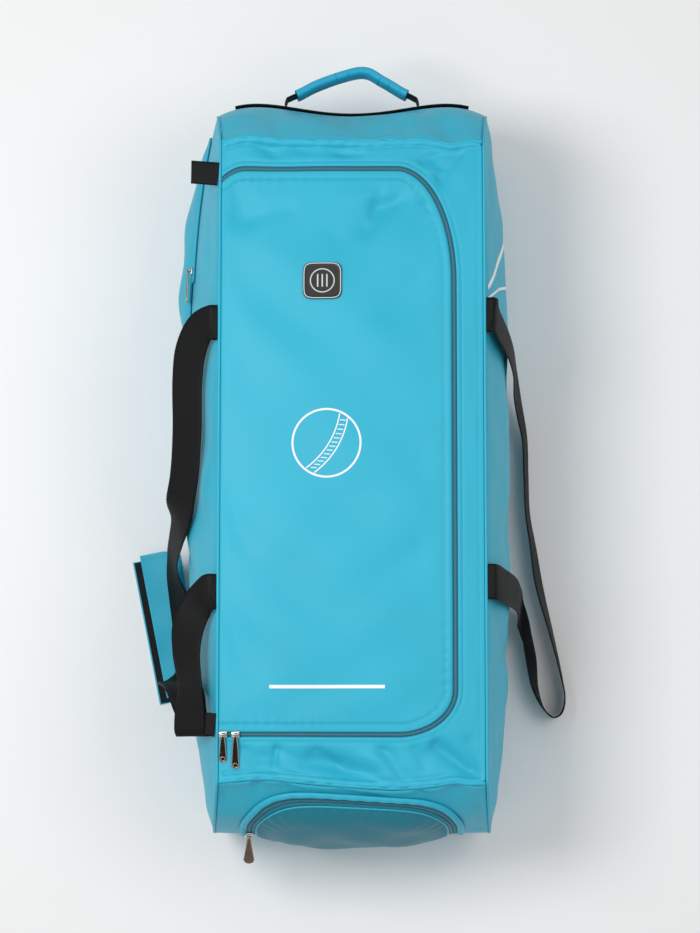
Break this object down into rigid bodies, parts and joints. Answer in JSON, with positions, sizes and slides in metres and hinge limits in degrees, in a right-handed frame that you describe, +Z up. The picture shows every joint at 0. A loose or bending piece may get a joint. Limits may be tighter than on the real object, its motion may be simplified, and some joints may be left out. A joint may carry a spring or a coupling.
{
  "type": "cricket kit bag",
  "caption": "Long boxy cricket kit bag lying on its base: zipped D-shaped lid, webbing carry straps with a grip wrap, end haul handle, side and end pockets.",
  "frame": {"origin": "middle of the base where it rests, under the middle of the bag", "axes": "+X across the bag away from the lid's hinge, +Y towards the end with the haul handle, +Z up through the lid"},
  "size_m": [0.6139, 1.0817, 0.3421],
  "materials": {
    "coated_cloth": "coated woven polyester, satin",
    "pocket_cloth": "coated woven polyester, satin",
    "grip_cloth": "padded woven polyester, satin",
    "zip_coil": "nylon coil on woven tape, semi-gloss",
    "webbing": "ribbed polypropylene webbing, matt",
    "hook_and_loop": "looped pile, matt",
    "badge_rubber": "moulded, satin",
    "slider_metal": "plated zinc, polished",
    "pull_metal": "plated zinc, polished and worn",
    "antique_metal": "antique plated, polished"
  },
  "bodies": {
    "bag": {"base_panel": "coated_cloth", "left_side_panel": "coated_cloth", "right_side_panel": "coated_cloth", "handle_end_panel": "coated_cloth", "pocket_end_panel": "coated_cloth", "top_border_panel": "coated_cloth", "lid_panel": "coated_cloth", "lid_zip": "zip_coil", "seam_welt_left": "coated_cloth", "seam_welt_right": "coated_cloth", "side_pocket_panel": "coated_cloth", "side_pocket_zip": "zip_coil", "end_pocket_panel": "pocket_cloth", "end_pocket_zip": "zip_coil", "strap_left": "webbing", "strap_right": "webbing", "grip_wrap": "coated_cloth", "grip_wrap_fastener": "hook_and_loop", "tab_upper": "webbing", "tab_lower": "webbing", "handle_anchor_strip": "webbing", "handle_strap": "webbing", "handle_grip": "grip_cloth", "badge": "badge_rubber", "lid_slider_a": "slider_metal", "lid_slider_b": "slider_metal", "side_slider": "slider_metal", "end_slider": "slider_metal"},
    "lid_pull_a": {"lid_pull_a": "pull_metal"},
    "lid_pull_b": {"lid_pull_b": "pull_metal"},
    "side_pull": {"side_pull": "pull_metal"},
    "end_pull": {"end_pull": "antique_metal"}
  },
  "joints": [
    {"name": "lid_pull_a_swing", "type": "hinge", "parent": "bag", "child": "lid_pull_a", "pos_m": [-0.16536, -0.35305, 0.33637], "axis": [-1, 0, 0], "range_deg": [0, 165]},
    {"name": "lid_pull_b_swing", "type": "hinge", "parent": "bag", "child": "lid_pull_b", "pos_m": [-0.14932, -0.35313, 0.33726], "axis": [-1, 0, 0], "range_deg": [0, 165]},
    {"name": "side_pull_swing", "type": "hinge", "parent": "bag", "child": "side_pull", "pos_m": [-0.22135, 0.26905, 0.22137], "axis": [-0.1992, 0, -0.98], "range_deg": [0, 165]},
    {"name": "end_pull_swing", "type": "hinge", "parent": "bag", "child": "end_pull", "pos_m": [-0.1366, -0.48911, 0.2031], "axis": [-0.9995, 0.0315, 0], "range_deg": [-36, 110]}
  ]
}
